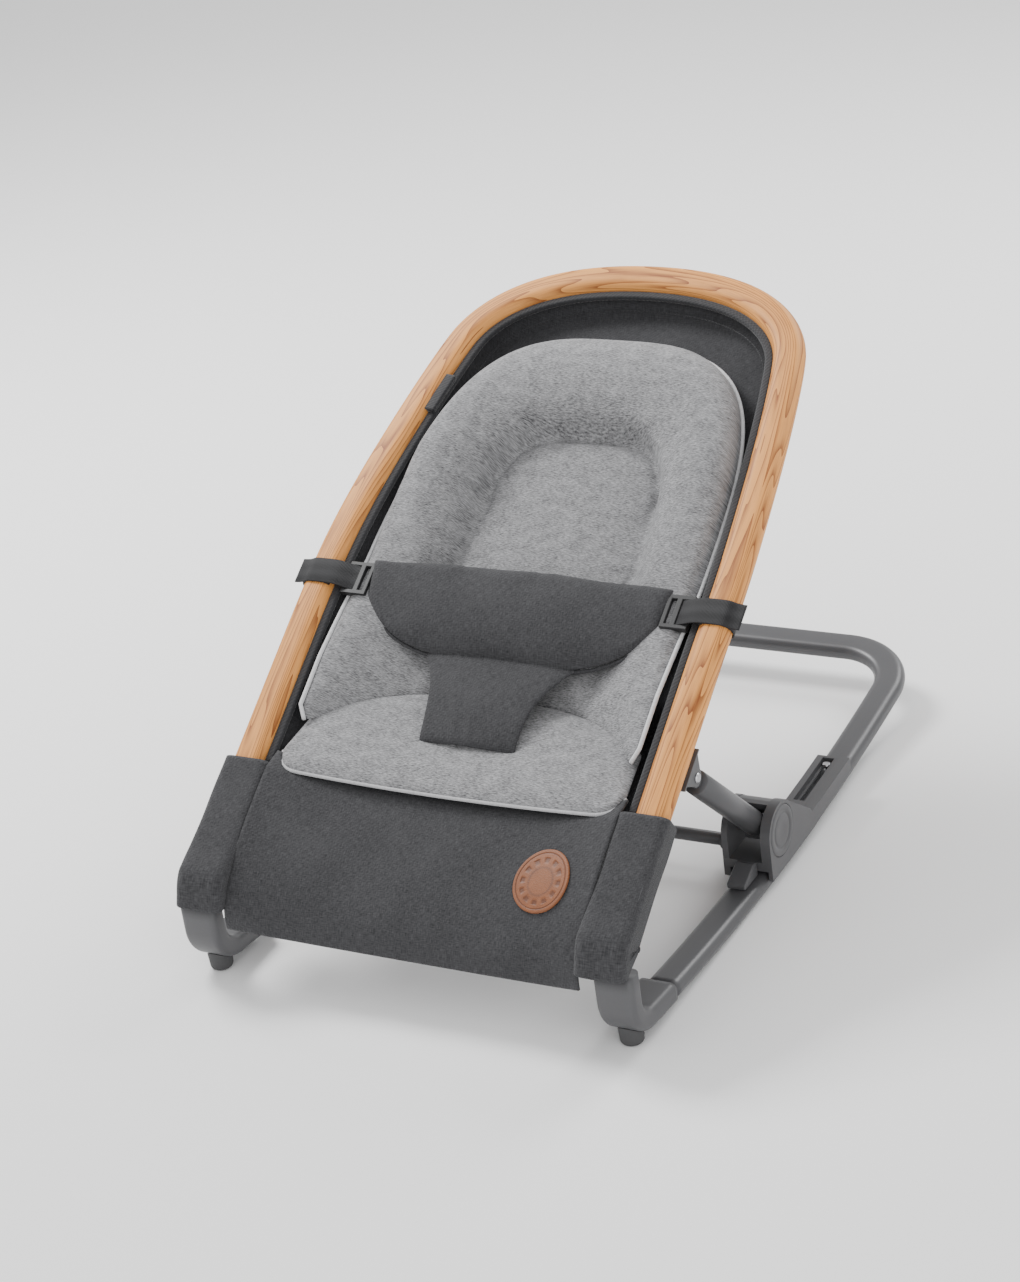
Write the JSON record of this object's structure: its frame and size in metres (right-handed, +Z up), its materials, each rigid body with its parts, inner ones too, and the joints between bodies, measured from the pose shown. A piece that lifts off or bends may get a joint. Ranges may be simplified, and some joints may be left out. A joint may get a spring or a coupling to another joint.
{
  "type": "bouncer seat",
  "caption": "Infant bouncer seat: bentwood bow carrying a padded fabric seat with waist pad, on a rocking tube base with folding struts, hub catches and front hinges.",
  "frame": {"origin": "floor level, midway between the two sides and between the foot end and the head end", "axes": "+Z up, foot end towards -Y, head end towards +Y, +X to the right seen from the foot end"},
  "size_m": [0.449, 0.6728, 0.446],
  "materials": {
    "coated_steel": "satin",
    "dark_plastic": "matte",
    "bright_steel": "satin",
    "black_rubber": "matte",
    "beech": "satin",
    "grey_jersey": "matte",
    "charcoal_cloth": "matte",
    "shell_cloth": "matte",
    "webbing": "matte",
    "tan_leather": "matte"
  },
  "bodies": {
    "base": {"base_tube": "coated_steel", "front_bend_left": "dark_plastic", "front_bend_right": "dark_plastic", "front_foot_left": "black_rubber", "front_foot_right": "black_rubber", "front_pivot_pin_left": "bright_steel", "front_pivot_pin_right": "bright_steel", "guide_rivet_left": "bright_steel", "guide_rivet_right": "bright_steel", "rail_stop_left": "dark_plastic", "rail_stop_right": "dark_plastic"},
    "seat": {"back_pad": "grey_jersey", "badge": "tan_leather", "belly_pad": "charcoal_cloth", "bracket_rivet_left": "bright_steel", "bracket_rivet_right": "bright_steel", "buckle_left": "dark_plastic", "buckle_right": "dark_plastic", "crotch_strap": "charcoal_cloth", "fabric_shell": "shell_cloth", "front_cross_tube": "coated_steel", "front_skirt": "charcoal_cloth", "head_pad": "grey_jersey", "leg_sleeve_left": "charcoal_cloth", "leg_sleeve_right": "charcoal_cloth", "leg_socket_left": "dark_plastic", "leg_socket_right": "dark_plastic", "leg_strap_left": "webbing", "leg_strap_right": "webbing", "seat_bow": "beech", "seat_pad": "grey_jersey", "strut_bracket_left": "dark_plastic", "strut_bracket_right": "dark_plastic"},
    "struts": {"strut_eye_left": "dark_plastic", "strut_eye_right": "dark_plastic", "strut_knuckle_left": "dark_plastic", "strut_knuckle_right": "dark_plastic", "strut_left": "coated_steel", "strut_right": "coated_steel"},
    "carriage": {"bar_collar_left": "dark_plastic", "bar_collar_right": "dark_plastic", "button_spring_left": "bright_steel", "button_spring_right": "bright_steel", "cross_bar": "coated_steel", "hub_housing_left": "dark_plastic", "hub_housing_right": "dark_plastic", "hub_pin_left": "bright_steel", "hub_pin_right": "bright_steel"},
    "button_left": {"hub_button_left": "dark_plastic"},
    "button_right": {"hub_button_right": "dark_plastic"}
  },
  "joints": [
    {"name": "front_pivot", "type": "hinge", "parent": "base", "child": "seat", "pos_m": [0, -0.3197, 0.092], "axis": [1, 0, 0], "range_deg": [-27, 0]},
    {"name": "strut_pivot", "type": "hinge", "parent": "seat", "child": "struts", "pos_m": [0, -0.1607, 0.167], "axis": [1, 0, 0], "range_deg": [0, 58.6]},
    {"name": "carriage_pivot", "type": "hinge", "parent": "struts", "child": "carriage", "pos_m": [0, -0.0377, 0.048], "axis": [1, 0, 0], "range_deg": [-30.2, 0]},
    {"name": "button_left_press", "type": "slide", "parent": "carriage", "child": "button_left", "axis": [1, 0, 0], "range_m": [0, 0.0024], "stiffness_N_per_m": 900, "springref_m": -0.002, "deforming": ["button_spring_left"]},
    {"name": "button_right_press", "type": "slide", "parent": "carriage", "child": "button_right", "axis": [-1, 0, 0], "range_m": [0, 0.0024], "stiffness_N_per_m": 900, "springref_m": -0.002, "deforming": ["button_spring_right"]}
  ],
  "couplings": [
    {"joint": "strut_pivot", "follows": "front_pivot", "ratio": -2.1661},
    {"joint": "carriage_pivot", "follows": "front_pivot", "ratio": 1.1125}
  ]
}
